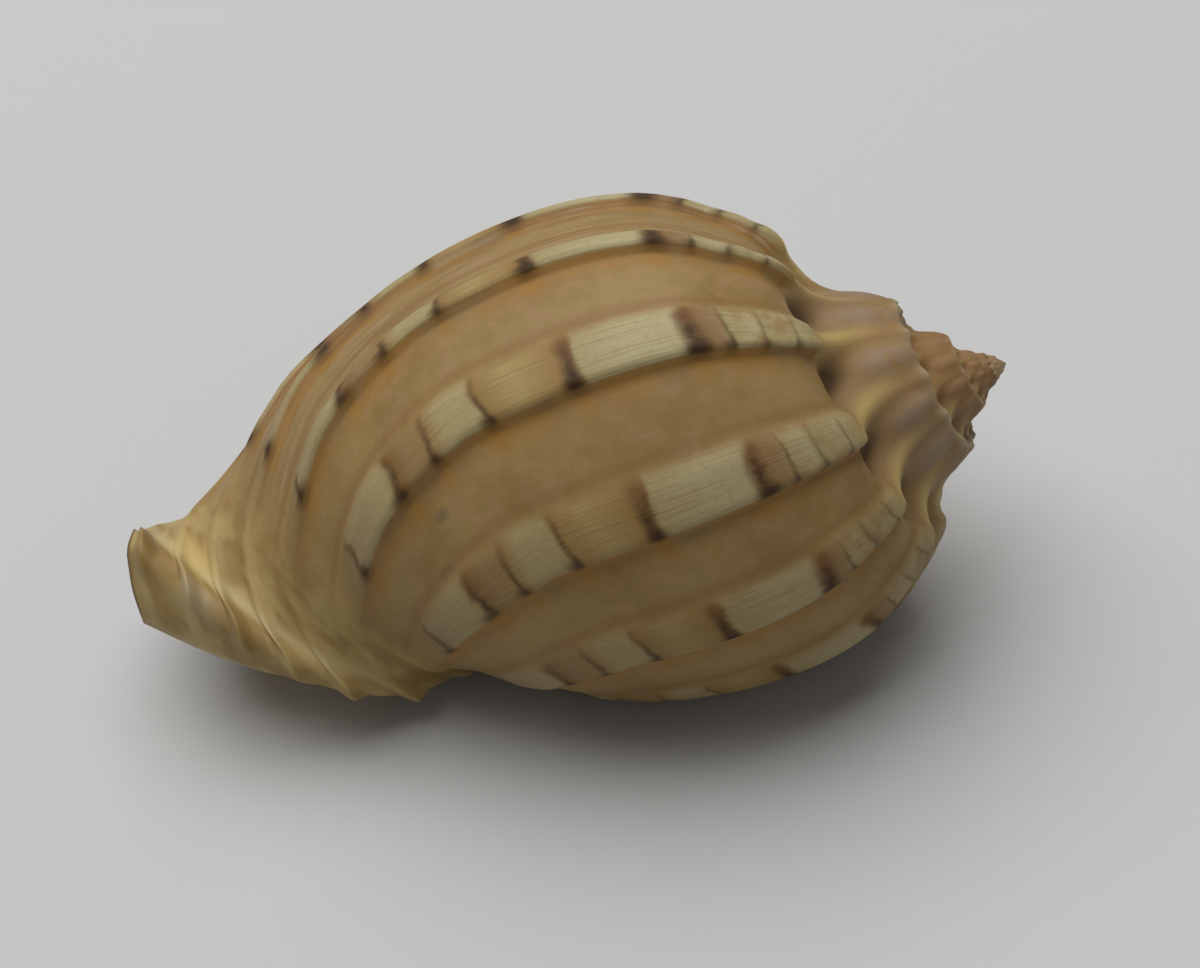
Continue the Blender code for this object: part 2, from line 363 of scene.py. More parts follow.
put(line_tree, leaving.inputs["Point"], between(line_tree, apex, point, begun))

# The suture. Each whorl is laid on the one before it, twelve and a half ribs back, so the first
# stretch of every growth line runs onto the older whorl's shoulder ramp and is welded to it.
RIBS_TO_OLDER_WHORL = 12.5
LIP_COLUMN = int(RIBS_TO_OLDER_WHORL * COLUMNS_PER_RIB)

outside_tree, takes, leaving = new_tree(
    "point of the outside", {"Column": "Float", "Station": "Float"}, {"Point": "Vector"}
)
own = used(
    outside_tree, line_tree, Column=takes["Column"], Station=takes["Station"].at_least(1)
)["Point"]
older = used(
    outside_tree, line_tree, Column=takes["Column"] - LIP_COLUMN, Station=float(RAMP_STATION)
)["Point"]
welded = takes["Station"].at_most(1)
put(outside_tree, leaving.inputs["Point"], between(outside_tree, older, own, welded))

# The shell, grown as three sheets that meet along the suture, the lip and the columella: the
# spire's ramps, the last whorl, and the mouth with the hollow behind it. They are welded into one
# closed skin. Lengths are in millimetres and angles in degrees until it is laid on the floor.
ROWS_PER_STATION = 6
HOLLOW_ROWS = 46
RIM_ROWS = 6
LIP_WALL = 1.8
LIP_ROUNDING = 0.55
RIM_CANAL_STATIONS = (15, 19)
SUTURE_TAPER_STATIONS = 10
RIM_FULL_STATIONS = (2, 4)
TIP_TAPER_STATIONS = 3
CANAL_MIDDLE = (0.0, 10.0)
HOLLOW_REACH = 206
HOLLOW_SPACING = 1.35
HOLLOW_CLOSES_FROM = 110
HOLLOW_NARROWS_BY = 0.11
HOLLOW_NARROWS_WITHIN = (0, 40)
CORNER_FILLS_WITHIN = (0, 16)
MOUTH_MIDDLE = (-12.2, 3.0, 46.0)
CORNER_STATIONS = (4, 9)
AXIS_RAISED = 15
DOWN_ANGLE = 231.5
MILLIMETRE = 0.001
APEX_PLACE = (0.0420922, -0.0054152, 0.0252863)
WELD = 0.000001


def rest_turn():
    """How the shell's axis frame is turned to lie on its mouth with the apex toward +X."""
    tilt = radians(AXIS_RAISED)
    axis = Vector((-cos(tilt), 0, -sin(tilt)))
    down = Vector((sin(tilt), 0, -cos(tilt)))
    side = axis.cross(down)
    roll = radians(DOWN_ANGLE)
    across = down * cos(roll) - side * sin(roll)
    upright = down * sin(roll) + side * cos(roll)
    return Matrix((across, upright, axis)).transposed().to_euler()


# The lip's wall is even, and thins out at the suture and at the tip of the columella
rim_tree, takes, leaving = new_tree(
    "point of the mouth's rim",
    {
        "Column": "Float",
        "Station": "Float",
        "On Lip": "Float",
        "Inset": "Float",
        "Rounding": "Float",
    },
    {"Point": "Vector"},
)
on_edge = takes["Station"]
edge_point = used(rim_tree, outside_tree, Column=takes["Column"], Station=on_edge)["Point"]
split = rim_tree.nodes.new("ShaderNodeSeparateXYZ")
rim_tree.links.new(edge_point.socket, split.inputs[0])
edge_x, edge_y = Amount(rim_tree, split.outputs[0]), Amount(rim_tree, split.outputs[1])
from_axis = (edge_x * edge_x + edge_y * edge_y).worked("SQRT")
to_middle_x, to_middle_y = edge_x.left_to(CANAL_MIDDLE[0]), edge_y.left_to(CANAL_MIDDLE[1])
to_middle = (to_middle_x * to_middle_x + to_middle_y * to_middle_y).worked("SQRT")
canal = on_edge.eased(*RIM_CANAL_STATIONS)
before = used(rim_tree, edge_tree, Station=(on_edge - 1).at_least(0))
after = used(rim_tree, edge_tree, Station=(on_edge + 1).at_most(COLUMELLA_STATION))
outward = after["Radius"] - before["Radius"]
downward = after["Height"] - before["Height"]
length = (outward * outward + downward * downward).worked("SQRT")
taper = (on_edge - RIM_FULL_STATIONS[0]) / RIM_FULL_STATIONS[1]
taper = taper.at_least(on_edge / SUTURE_TAPER_STATIONS)
taper = taper.at_most(on_edge.left_to(LAST_STATION) / TIP_TAPER_STATIONS).at_most(1)
taper = taper * takes["On Lip"]
inset = taper * takes["Inset"]
rounding = taper * takes["Rounding"]
upright = downward / length * (canal - 1)
inward_x = edge_x / from_axis * upright + to_middle_x / to_middle * canal
inward_y = edge_y / from_axis * upright + to_middle_y / to_middle * canal
inward_z = outward / length * canal.left_to(1)
rim = packed(
    rim_tree,
    inward_x * inset - edge_y / from_axis * rounding,
    inward_y * inset + edge_x / from_axis * rounding,
    inward_z * inset,
)
put(rim_tree, leaving.inputs["Point"], moved(rim_tree, edge_point, rim))

shell_tree, takes, leaving = new_tree(
    "harp shell",
    {
        "Spire Columns": "Int",
        "Last Whorl Columns": "Int",
        "Rows": "Int",
        "Ramp Rows": "Int",
        "Mouth Rows": "Int",
        "Lip Wall": "Float",
        "Apex Place": "Vector",
        "Rest Turn": "Rotation",
        "Finish": "Material",
    },
    {"Shell": "Geometry"},
)
nodes, links = shell_tree.nodes, shell_tree.links


def sheet_of(columns, rows):
    """A flat sheet of quads, and the column and row of each of its points as amounts."""
    grid = nodes.new("GeometryNodeMeshGrid")
    put(shell_tree, grid.inputs["Size X"], columns)
    put(shell_tree, grid.inputs["Size Y"], rows)
    put(shell_tree, grid.inputs["Vertices X"], columns + 1)
    put(shell_tree, grid.inputs["Vertices Y"], rows + 1)
    counts = []
    geometry = grid.outputs["Mesh"]
    where = nodes.new("ShaderNodeSeparateXYZ")
    links.new(nodes.new("GeometryNodeInputPosition").outputs[0], where.inputs[0])
    for label, socket, size in (("column", 0, columns), ("row", 1, rows)):
        store = nodes.new("GeometryNodeStoreNamedAttribute")
        store.inputs["Name"].default_value = label
        links.new(geometry, store.inputs["Geometry"])
        at = (Amount(shell_tree, where.outputs[socket]) + size / 2).worked("ROUND")
        put(shell_tree, store.inputs["Value"], at)
        geometry = store.outputs["Geometry"]
        read = nodes.new("GeometryNodeInputNamedAttribute")
        read.inputs["Name"].default_value = label
        counts.append(Amount(shell_tree, read.outputs["Attribute"]))
    return geometry, counts[0], counts[1]


def shaped(geometry, point, growth, hollow, flip):
    """The sheet with its points in place. Two UV maps keep what each point is, for colours."""
    for label, pair in (("growth", growth), ("hollow", hollow)):
        store = nodes.new("GeometryNodeStoreNamedAttribute")
        store.data_type = "FLOAT2"
        store.domain = "CORNER"
        store.inputs["Name"].default_value = label
        links.new(geometry, store.inputs["Geometry"])
        links.new(packed(shell_tree, *pair, 0.0).socket, store.inputs["Value"])
        geometry = store.outputs["Geometry"]
    place = nodes.new("GeometryNodeSetPosition")
    links.new(geometry, place.inputs["Geometry"])
    links.new(point.socket, place.inputs["Position"])
    if not flip:
        return place.outputs["Geometry"]
    turned = nodes.new("GeometryNodeFlipFaces")
    links.new(place.outputs["Geometry"], turned.inputs["Mesh"])
    return turned.outputs["Mesh"]


sheets = []

# The spire: only the ramps show, because each whorl hides the rest of the one before it
geometry, column, row = sheet_of(takes["Spire Columns"], takes["Ramp Rows"])
column = column - takes["Spire Columns"]
station = row / ROWS_PER_STATION
point = used(shell_tree, outside_tree, Column=column, Station=station)["Point"]
ribs = used(shell_tree, turn_tree, Column=column)["Ribs"]
sheets.append(shaped(geometry, point, (ribs, station), (0.0, 0.0), False))

# The last whorl, from the edge of the inner lip round to the outer lip
geometry, column, row = sheet_of(takes["Last Whorl Columns"], takes["Rows"])
station = row / ROWS_PER_STATION
point = used(shell_tree, outside_tree, Column=column, Station=station)["Point"]
ribs = used(shell_tree, turn_tree, Column=column)["Ribs"]
sheets.append(shaped(geometry, point, (ribs, station), (0.0, 0.0), False))

# The mouth's edge runs down the lip, back along the columella and up the belly to the suture
lip_rows = LAST_STATION * ROWS_PER_STATION
belly_rows = (COLUMELLA_STATION - RAMP_STATION) * ROWS_PER_STATION
mouth_steps = takes["Last Whorl Columns"] + (lip_rows + belly_rows)
geometry, deep, round_mouth = sheet_of(takes["Mouth Rows"], mouth_steps)
on_lip = round_mouth.at_most(lip_rows) / ROWS_PER_STATION
back = (round_mouth - lip_rows).at_least(0).at_most(takes["Last Whorl Columns"])
up_belly = (round_mouth - lip_rows - takes["Last Whorl Columns"]).at_least(0) / ROWS_PER_STATION
has_turned_up = up_belly.worked("GREATER_THAN", 0.01)
edge_column = takes["Last Whorl Columns"] - back
edge_station = on_lip * has_turned_up.left_to(1) + (
    up_belly.left_to(COLUMELLA_STATION)
) * has_turned_up
is_lip = round_mouth.worked("LESS_THAN", lip_rows - 0.5)
rim_share = (deep / RIM_ROWS).at_most(1)

# Behind the mouth the hollow winds back down the same spiral, and closes out of sight. The sharp
# corner under the suture fills with shell as it goes in, from both sides at once
inside = (deep - RIM_ROWS).at_least(0) / (takes["Mouth Rows"] - RIM_ROWS)
inside = inside.worked("POWER", HOLLOW_SPACING)
wound = inside * HOLLOW_REACH
filling = wound.eased(*CORNER_FILLS_WITHIN)
lip_corner = filling * CORNER_STATIONS[0]
belly_corner = filling * (CORNER_STATIONS[1] - RAMP_STATION)
past_suture = edge_station - is_lip.left_to(1) * RAMP_STATION
own_corner = lip_corner * is_lip + belly_corner * is_lip.left_to(1)
own_side = used(
    shell_tree,
    rim_tree,
    **{
        "Column": edge_column,
        "Station": past_suture.at_least(own_corner) + is_lip.left_to(1) * RAMP_STATION,
        "On Lip": is_lip,
        "Inset": rim_share * takes["Lip Wall"],
        "Rounding": (rim_share * pi).worked("SINE") * LIP_ROUNDING,
    },
)["Point"]
other_side = used(
    shell_tree,
    rim_tree,
    **{
        "Column": is_lip.left_to(1) * takes["Last Whorl Columns"],
        "Station": (belly_corner + RAMP_STATION) * is_lip + lip_corner * is_lip.left_to(1),
        "On Lip": is_lip.left_to(1),
        "Inset": rim_share * takes["Lip Wall"],
        "Rounding": 0.0,
    },
)["Point"]
bridged = (past_suture / own_corner.at_least(0.0001)).at_most(1).left_to(1) * 0.5
rim_point = between(shell_tree, own_side, other_side, bridged)
closing = ((wound - HOLLOW_CLOSES_FROM) / (HOLLOW_REACH - HOLLOW_CLOSES_FROM)).at_least(0)
width = (closing * closing).left_to(1).at_least(0).worked("SQRT")
width = width * (wound.eased(*HOLLOW_NARROWS_WITHIN) * -HOLLOW_NARROWS_BY + 1)
narrowed = between(shell_tree, packed(shell_tree, *MOUTH_MIDDLE), rim_point, width)
shrink = (wound * (-log(GROWTH_PER_TURN) / 360)).worked("EXPONENT")
split = nodes.new("ShaderNodeSeparateXYZ")
links.new(narrowed.socket, split.inputs[0])
x, y, z = (Amount(shell_tree, socket) * shrink for socket in split.outputs)
angle = wound * (-pi / 180)
point = packed(
    shell_tree,
    x * angle.worked("COSINE") - y * angle.worked("SINE"),
    x * angle.worked("SINE") + y * angle.worked("COSINE"),
    z,
)
ribs = used(shell_tree, turn_tree, Column=edge_column)["Ribs"] - wound / (360 / RIBS_PER_WHORL)
sheets.append(
    shaped(geometry, point, (ribs, edge_station), (rim_share + inside, is_lip.left_to(1)), False)
)

join = nodes.new("GeometryNodeJoinGeometry")
for sheet in sheets:
    links.new(sheet, join.inputs["Geometry"])
lay = nodes.new("GeometryNodeTransform")
links.new(join.outputs["Geometry"], lay.inputs["Geometry"])
lay.inputs["Scale"].default_value = (MILLIMETRE, MILLIMETRE, MILLIMETRE)
put(shell_tree, lay.inputs["Rotation"], takes["Rest Turn"])
put(shell_tree, lay.inputs["Translation"], takes["Apex Place"])
weld = nodes.new("GeometryNodeMergeByDistance")
links.new(lay.outputs["Geometry"], weld.inputs["Geometry"])
weld.inputs["Distance"].default_value = WELD

# Underneath, the shell is cut level where it touches, so that it stands steady
split = nodes.new("ShaderNodeSeparateXYZ")
links.new(nodes.new("GeometryNodeInputPosition").outputs[0], split.inputs[0])
x, y, z = (Amount(shell_tree, socket) for socket in split.outputs)
settle = nodes.new("GeometryNodeSetPosition")
links.new(weld.outputs["Geometry"], settle.inputs["Geometry"])
links.new(packed(shell_tree, x, y, z.at_least(0)).socket, settle.inputs["Position"])
smooth = nodes.new("GeometryNodeSetShadeSmooth")
links.new(settle.outputs["Geometry"], smooth.inputs["Geometry"])
realize = nodes.new("GeometryNodeRealizeInstances")
links.new(smooth.outputs["Geometry"], realize.inputs["Geometry"])
paint = nodes.new("GeometryNodeSetMaterial")
links.new(realize.outputs["Geometry"], paint.inputs["Geometry"])
put(shell_tree, paint.inputs["Material"], takes["Finish"])
links.new(paint.outputs["Geometry"], leaving.inputs["Shell"])

# The colours. The shell is laid down cream and tan, and glands along the edge add brown where
# they work: the ribs carry bars that line up from rib to rib, and the belly a chestnut blotch.
CREAM = (0.36, 0.295, 0.14)
PALE_CREAM = (0.415, 0.355, 0.19)
TAN = (0.31, 0.205, 0.075)
TAN_BROWN = (0.2, 0.1, 0.028)
RIB_COLOURS = [
    (4.6, (0.42, 0.29, 0.105)), (5.2, CREAM), (5.85, PALE_CREAM), (6.6, CREAM),
    (7.0, PALE_CREAM), (7.7, CREAM), (7.9, (0.27, 0.17, 0.08)), (8.45, TAN_BROWN),
    (8.66, PALE_CREAM), (9.6, PALE_CREAM), (10.58, CREAM), (10.7, TAN_BROWN),
    (11.1, (0.29, 0.175, 0.055)), (11.9, (0.36, 0.26, 0.1)), (12.6, (0.27, 0.16, 0.05)),
    (12.85, CREAM), (13.6, CREAM), (13.95, (0.27, 0.17, 0.06)), (14.6, (0.27, 0.175, 0.075)),
    (15.0, TAN_BROWN), (15.25, CREAM), (16.1, (0.33, 0.25, 0.13)), (16.5, (0.28, 0.19, 0.085)),
    (17.6, TAN),
]

# Each bar's station on the rib, how far it reaches along the rib, and how deep its brown is
BARS = [
    (5.67, 0.13, 0.5), (6.7, 0.12, 0.5), (7.75, 0.11, 0.65), (8.44, 0.3, 1.0), (10.8, 0.27, 1.0),
    (12.67, 0.14, 0.8), (14.03, 0.14, 0.75), (15.07, 0.14, 0.85), (16.29, 0.13, 0.8),
]

finish = bpy.data.materials.new("shell porcelain")
finish.use_nodes = True
paint_tree = finish.node_tree
shader = paint_tree.nodes["Principled BSDF"]


def read_map(name):
    node = paint_tree.nodes.new("ShaderNodeUVMap")
    node.uv_map = name
    split = paint_tree.nodes.new("ShaderNodeSeparateXYZ")
    paint_tree.links.new(node.outputs[0], split.inputs[0])
    return Amount(paint_tree, split.outputs[0]), Amount(paint_tree, split.outputs[1])


def mottle(where, scale, detail=3.0, roughness=0.5, stretch=(1, 1, 1)):
    """Soft cloudy noise between 0 and 1 at a point, finer for a larger scale."""
    mapping = paint_tree.nodes.new("ShaderNodeMapping")
    mapping.inputs["Scale"].default_value = stretch
    paint_tree.links.new(where.socket, mapping.inputs["Vector"])
    node = paint_tree.nodes.new("ShaderNodeTexNoise")
    paint_tree.links.new(mapping.outputs[0], node.inputs["Vector"])
    node.inputs["Scale"].default_value = scale
    node.inputs["Detail"].default_value = detail
    node.inputs["Roughness"].default_value = roughness
    return Amount(paint_tree, node.outputs["Fac"])


def tinted(under, over, share):
    """The colour that shows when this share of the second colour covers the first."""
    node = paint_tree.nodes.new("ShaderNodeMix")
    node.data_type = "RGBA"
    put(paint_tree, node.inputs[0], share)
    for socket, colour in ((node.inputs[6], under), (node.inputs[7], over)):
        put(paint_tree, socket, colour if isinstance(colour, Amount) else (*colour, 1))
    return Amount(paint_tree, node.outputs[2])


def banded(amount, stops):
    """A colour from a row of stops along the amount."""
    node = paint_tree.nodes.new("ShaderNodeValToRGB")
    left, right = stops[0][0], stops[-1][0]
    ramp = node.color_ramp
    while len(ramp.elements) < len(stops):
        ramp.elements.new(0.5)
    for element, (place, colour) in zip(ramp.elements, stops):
        element.position = (place - left) / (right - left)
        element.color = (*colour, 1)
    put(paint_tree, node.inputs[0], (amount - left) / (right - left))
    return Amount(paint_tree, node.outputs[0])


# Clouds lie in the shell's own space, per metre. Streaks and patches follow its growth: their
# stretch is cycles per rib, and then along the growth line and into the mouth
CLOUDS_SCALE = 110
FINE_CLOUDS_SCALE = 420
GRAIN_SCALE = 1500
STATION_LENGTH = 0.35
STREAK_STRETCH = (70, 1.3, 4)
WANDER_STRETCH = (3.1, 2.2, 2)
PATCH_STRETCH = (1.3, 2.4, 1)
CANAL_COLOUR_STATIONS = (16.2, 18.8)

ribs, station = read_map("growth")
deep, on_belly = read_map("hollow")
here = paint_tree.nodes.new("ShaderNodeTexCoord")
here = Amount(paint_tree, here.outputs["Object"])
grown_place = packed(paint_tree, ribs, station * STATION_LENGTH, deep)
clouds = mottle(here, CLOUDS_SCALE)
fine_clouds = mottle(here, FINE_CLOUDS_SCALE, 4.0, 0.6)
grain = mottle(here, GRAIN_SCALE, 2.0, 0.6)
patches = mottle(grown_place, 1.0, 2.0, 0.5, PATCH_STRETCH)
wander = mottle(grown_place, 1.0, 2.0, 0.5, WANDER_STRETCH)
canal = station.eased(*CANAL_COLOUR_STATIONS)
streaks = mottle(grown_place, 1.0, 3.0, 0.55, STREAK_STRETCH)
streaks = (streaks - 0.5) * canal.left_to(1) + 0.5

# Where a point is on its rib, and how much of the rib's flat top it has. The edges of the top and
# of the marks wander a little
RIB_TOP = 0.37
RIB_TOP_EASES = (0.05, -0.08)
RIB_CREST_PHASES = (0.968, 0.982)
phase = ribs.part()
wrapped = phase - phase.worked("GREATER_THAN", 0.5)
across = phase * (ribs.eased(*NARROW_RIBS) * NARROWING + 1)
on_top = across + (streaks - 0.5) * 0.08
on_top = on_top.eased(RIB_TOP + RIB_TOP_EASES[0], RIB_TOP + RIB_TOP_EASES[1])
on_top = on_top.at_least(phase.eased(*RIB_CREST_PHASES))
toward_young = (wrapped.at_least(0) / RIB_TOP).at_most(1)
marks_at = station + (wander - 0.5) * 0.5 + (streaks - 0.5) * 0.12

# The smooth stretches between ribs: tan with pinkish and orange clouds, darkened orange brown at
# a rib's foot, partly its own orange and partly painted shade under the overhang, and streaked by
# growth lines toward the lip
GROUND_BROWN = (0.25, 0.155, 0.05)
PINKISH_TAN = (0.34, 0.215, 0.105)
DULL_TAN = (0.21, 0.125, 0.045)
GRAIN_BROWN = (0.2, 0.12, 0.045)
FOOT_ORANGE_AND_SHADE = (0.3, 0.145, 0.028)
FOOT_SHADE_BROWN = (0.2, 0.115, 0.045)
PALE_STREAK = (0.38, 0.29, 0.17)
DARK_STREAK = (0.19, 0.105, 0.05)
SHADE_BROWN = (0.22, 0.12, 0.04)
FOOT_PHASES = (0.72, 0.97)
STREAKED_RIBS = (8.0, 8.3)
ground = tinted(TAN, GROUND_BROWN, clouds.eased(0.35, 0.7))
ground = tinted(ground, PINKISH_TAN, fine_clouds.eased(0.42, 0.7) * 0.5)
ground = tinted(ground, DULL_TAN, fine_clouds.eased(0.5, 0.32) * 0.16)
ground = tinted(ground, GRAIN_BROWN, grain.eased(0.45, 0.7) * 0.17)
# Painted shade: each rib's foot, under the next rib's overhanging edge, is darkened orange brown,
# partly the shell's own orange
foot = phase.eased(*FOOT_PHASES) * phase.eased(1.0, FOOT_PHASES[1])
ground = tinted(ground, FOOT_ORANGE_AND_SHADE, foot * wander.eased(0.3, 0.6) * 0.75)
ground = tinted(ground, FOOT_SHADE_BROWN, foot * wander.eased(0.6, 0.3) * 0.5)
far_streaks = ribs.eased(*STREAKED_RIBS) * canal.left_to(1)
ground = tinted(ground, PALE_STREAK, streaks.eased(0.5, 0.3) * far_streaks * 0.7)
ground = tinted(ground, DARK_STREAK, streaks.eased(0.5, 0.7) * far_streaks * 0.7)
ground = tinted(ground, SHADE_BROWN, phase.hump(RIB_TOP + 0.08, 0.09) * 0.5)

# The ribs' tops, striped along their length by fine growth lines, rusty near the shoulder, and
# darker brown on the older ribs as painted shade
STREAK_TAN = (0.23, 0.135, 0.045)
RUST = (0.27, 0.145, 0.045)
RUST_STATIONS = (8.3, 7.4)
CLEAN_TIP_STATIONS = (5.2, 5.7)
OLDER_RIBS_SHADE = (0.21, 0.13, 0.05)
SHADED_RIBS = (7.4, 5.6)
RIB_GRAIN = (0.26, 0.165, 0.06)
rib_colour = banded(marks_at, RIB_COLOURS)
rib_colour = tinted(rib_colour, STREAK_TAN, streaks.eased(0.48, 0.7) * 0.4)
rib_colour = tinted(rib_colour, PALE_CREAM, streaks.eased(0.42, 0.25) * 0.3)
near_shoulder = station.eased(*RUST_STATIONS) * station.eased(*CLEAN_TIP_STATIONS)
rusty = (fine_clouds * 0.6 + clouds * 0.4).eased(0.46, 0.6) * near_shoulder
rib_colour = tinted(rib_colour, RUST, rusty * 0.6)
# Painted shade: the older ribs, lower on the shell as it lies, are darkened brown
rib_colour = tinted(rib_colour, OLDER_RIBS_SHADE, ribs.eased(*SHADED_RIBS) * 0.28)
rib_colour = tinted(rib_colour, RIB_GRAIN, grain.eased(0.45, 0.7) * 0.2)
surface = tinted(ground, rib_colour, on_top)

# Bars: near black where they start at the steep edge, fading to brown across the rib, with a dark
# spot and an orange halo at the rib's foot
HALO_ORANGE = (0.31, 0.155, 0.025)
BAR_BLACK = (0.04, 0.018, 0.006)
BAR_BROWN = (0.15, 0.062, 0.014)
SPOT_BLACK = (0.045, 0.021, 0.006)
SPOT_PHASE = (-0.005, 0.075)
SPOT_OFFSET = 0.04
SPOT_REACH = 0.22
bars = None
spots = None
for place, reach, depth in BARS:
    bar = marks_at.hump(place, reach) * depth
    spot = station.hump(place + SPOT_OFFSET, reach * 0.6 + SPOT_REACH) * depth
    bars = bar if bars is None else bars.at_least(bar)
    spots = spot if spots is None else spots.at_least(spot)
surface = tinted(surface, HALO_ORANGE, spots * foot.at_most(0.7))
bar_colour = tinted(BAR_BLACK, BAR_BROWN, toward_young.eased(0.25, 1))
blotchy = (fine_clouds * 0.5 + grain * 0.5).eased(0.62, 0.4) * 0.35 + 0.65
bar_share = bars * on_top * (toward_young * -0.2 + 1) * blotchy
surface = tinted(surface, bar_colour, bar_share)
spot_share = spots * wrapped.hump(*SPOT_PHASE) * (wander * 0.8 + 0.6).at_most(1)
surface = tinted(surface, SPOT_BLACK, spot_share * 0.92)

# Two small smudges of dirt, each by rib and station with its reaches, its colour and its strength
SMUDGES = [
    (6.73, 0.06, 14.75, 0.3, (0.1, 0.085, 0.06), 0.55),
    (6.45, 0.05, 15.25, 0.25, (0.16, 0.09, 0.035), 0.4),
]
for rib, rib_reach, place, reach, colour, strength in SMUDGES:
    smudge = ribs.hump(rib, rib_reach) * station.hump(place, reach)
    surface = tinted(surface, colour, smudge * strength)

# The shoulder ramp: lilac grey cushions between short yellow saddles, with painted shade, near
# black, in the pit behind the shoulder. The older whorls are orange brown, with a pale welt and
# pale crowns to their ribs
RAMP_EASES_STATIONS = (4.9, 4.2)
RAMP_TAN = (0.25, 0.16, 0.08)
RAMP_BROWN = (0.28, 0.17, 0.065)
LILAC_GREY = (0.27, 0.2, 0.145)
SADDLE_YELLOW = (0.46, 0.33, 0.12)
PIT_SHADE = (0.06, 0.033, 0.018)
SPIRE_ORANGE = (0.25, 0.13, 0.045)
WELT_CREAM = (0.44, 0.36, 0.22)
WELT_STATION = (1.0, 0.65)
CROWN_CREAM = (0.42, 0.33, 0.16)
TIP_CREAM = (0.45, 0.34, 0.2)
on_ramp = station.eased(*RAMP_EASES_STATIONS)
ramp = tinted(RAMP_TAN, RAMP_BROWN, clouds.eased(0.4, 0.65))
cushion = station.hump(2.1, 1.2) * phase.hump(0.6, 0.4) * fine_clouds.eased(0.3, 0.55)
ramp = tinted(ramp, LILAC_GREY, cushion * 0.8)
saddle = (wrapped + (station - 4) * 0.1).hump(0.06, 0.26) * station.eased(1.6, 3.6)
ramp = tinted(ramp, SADDLE_YELLOW, saddle)
surface = tinted(surface, ramp, on_ramp)
# Painted shade: the pit behind the shoulder is darkened near black
pit = station.hump(3.8, 0.85) * phase.hump(0.66, 0.28)
surface = tinted(surface, PIT_SHADE, (pit * 1.2).at_most(0.8))
on_spire = ribs.eased(0.5, -3) * clouds.eased(0.2, 0.5)
surface = tinted(surface, SPIRE_ORANGE, on_spire * 0.75)
welt = station.hump(*WELT_STATION) * (wrapped.hump(0.08, 0.4) * 0.5 + 0.25)
surface = tinted(surface, WELT_CREAM, welt * ribs.eased(-20, -10) * ribs.eased(13, 10))
crown = station.eased(3.2, 3.9) * ribs.eased(0.3, 0) * (wrapped.hump(0.08, 0.3) * 0.7 + 0.1)
surface = tinted(surface, CROWN_CREAM, crown)
surface = tinted(surface, TIP_CREAM, ribs.eased(-30, -38))

# The canal end: yellow and brown patches, crossed by the fasciole, a pale ridge from the notch
# down to the teeth, with a yellow knuckle on it brightened by a painted highlight, and grey cream
# between two brown stains
FOLD_BROWN = (0.29, 0.19, 0.065)
FOLD_YELLOW = (0.42, 0.31, 0.125)
KEEL_CREAM = (0.46, 0.37, 0.19)
KNUCKLE_HIGHLIGHT_YELLOW = (0.52, 0.38, 0.13)
GREY_CREAM = (0.36, 0.29, 0.18)
STAIN_BROWN = (0.22, 0.13, 0.04)
NOTCH_BROWN = (0.1, 0.06, 0.022)
folds = tinted(FOLD_BROWN, FOLD_YELLOW, patches.eased(0.4, 0.6))
surface = tinted(surface, folds, canal * 0.8)
keel = (station + (ribs - 10) * 0.1).hump(20.0, 0.55) * ribs.eased(6.5, 8.5)
surface = tinted(surface, KEEL_CREAM, keel * 0.7)
# Painted highlight: the knuckle's own yellow is brightened where the ridge catches the light
knuckle = ribs.hump(10.7, 0.8) * station.hump(19.7, 0.9)
surface = tinted(surface, KNUCKLE_HIGHLIGHT_YELLOW, knuckle * 0.7)
grey_patch = ribs.hump(10.9, 0.5) * station.hump(21.2, 1.0)
surface = tinted(surface, GREY_CREAM, grey_patch * 0.7)
stains = ribs.hump(10.2, 0.45).at_least(ribs.hump(11.8, 0.5)) * station.hump(21.3, 1.0)
surface = tinted(surface, STAIN_BROWN, stains * 0.7)
notch_edge = ribs.eased(12.38, 12.48) * canal * deep.eased(0.6, 0)
surface = tinted(surface, NOTCH_BROWN, notch_edge * 0.8)

# The belly and columella carry a clear glaze over one chestnut blotch
BELLY_CREAM = (0.62, 0.47, 0.26)
CHESTNUT = (0.07, 0.02, 0.008)
BELLY_RIBS = (2.9, 2.0)
INNER_LIP_RIBS = (-0.4, -0.05)
BELLY_STATIONS = (4.6, 6.5)
PILLAR_STATIONS = (22.6, 23.4)
belly = ribs.eased(*BELLY_RIBS) * ribs.eased(*INNER_LIP_RIBS)
belly = belly * station.eased(*BELLY_STATIONS) * deep.eased(0.2, 0)
glazed = belly.at_least(station.eased(*PILLAR_STATIONS))
blotch_place = (clouds - 0.5) * 3 + station
blotch = blotch_place.eased(9, 10) * blotch_place.eased(21, 19.5)
glaze_colour = tinted(BELLY_CREAM, CHESTNUT, blotch)
surface = tinted(surface, glaze_colour, glazed * 0.96)

# Inside the mouth: cream, with the bars showing through in brown, and a pale rim
MOUTH_CREAM = (0.62, 0.5, 0.33)
MOUTH_BROWN = (0.26, 0.13, 0.06)
MOUTH_TAN = (0.42, 0.26, 0.14)
RIM_CREAM = (0.7, 0.62, 0.45)
RIM_BROWN = (0.2, 0.09, 0.035)
inner = tinted(MOUTH_CREAM, MOUTH_BROWN, bars * 0.6 + 0.12)
inner = tinted(inner, MOUTH_TAN, wander.eased(0.4, 0.7) * 0.5)
rim = tinted(RIM_CREAM, RIM_BROWN, bars * 0.8)
lining = tinted(rim, inner, deep.eased(0.9, 1.15))
lining = tinted(lining, glaze_colour, on_belly)
surface = tinted(surface, lining, deep.eased(0.05, 0.25))
put(paint_tree, shader.inputs["Base Color"], surface)

